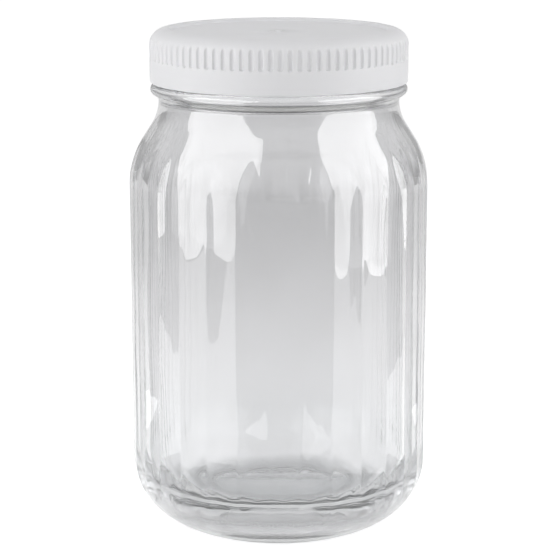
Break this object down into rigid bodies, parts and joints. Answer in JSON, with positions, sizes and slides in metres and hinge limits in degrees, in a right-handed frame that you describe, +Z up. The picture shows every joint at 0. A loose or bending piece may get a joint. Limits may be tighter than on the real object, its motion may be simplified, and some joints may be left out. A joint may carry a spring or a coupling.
{
  "type": "storage jar",
  "caption": "Round fluted glass storage jar with a rounded shoulder and a white ribbed screw lid that unscrews and lifts off.",
  "frame": {"origin": "centre of the ring that the jar stands on, at the lowest height of the part", "axes": "+Z up along the jar's and the screw thread's axis, from the base to the lid"},
  "size_m": [0.102, 0.1018, 0.1715],
  "materials": {
    "clear_glass": "clear soda lime glass, fire polished",
    "white_plastic": "injection moulded polypropylene, satin",
    "foam_liner": "white polyethylene foam disc"
  },
  "bodies": {
    "jar": {"glass_jar": "clear_glass"},
    "liner": {"lid_liner": "foam_liner"},
    "lid": {"screw_lid": "white_plastic"}
  },
  "joints": [
    {"name": "lid_rise", "type": "slide", "parent": "jar", "child": "liner", "axis": [0, 0, 1], "range_m": [0, 0.024]},
    {"name": "lid_turn", "type": "hinge", "parent": "liner", "child": "lid", "pos_m": [0, 0, 0.1667], "axis": [0, 0, 1], "range_deg": [0, 1440]}
  ],
  "couplings": [
    {"joint": "lid_rise", "follows": "lid_turn", "m_per_rad": 0.00095493}
  ]
}
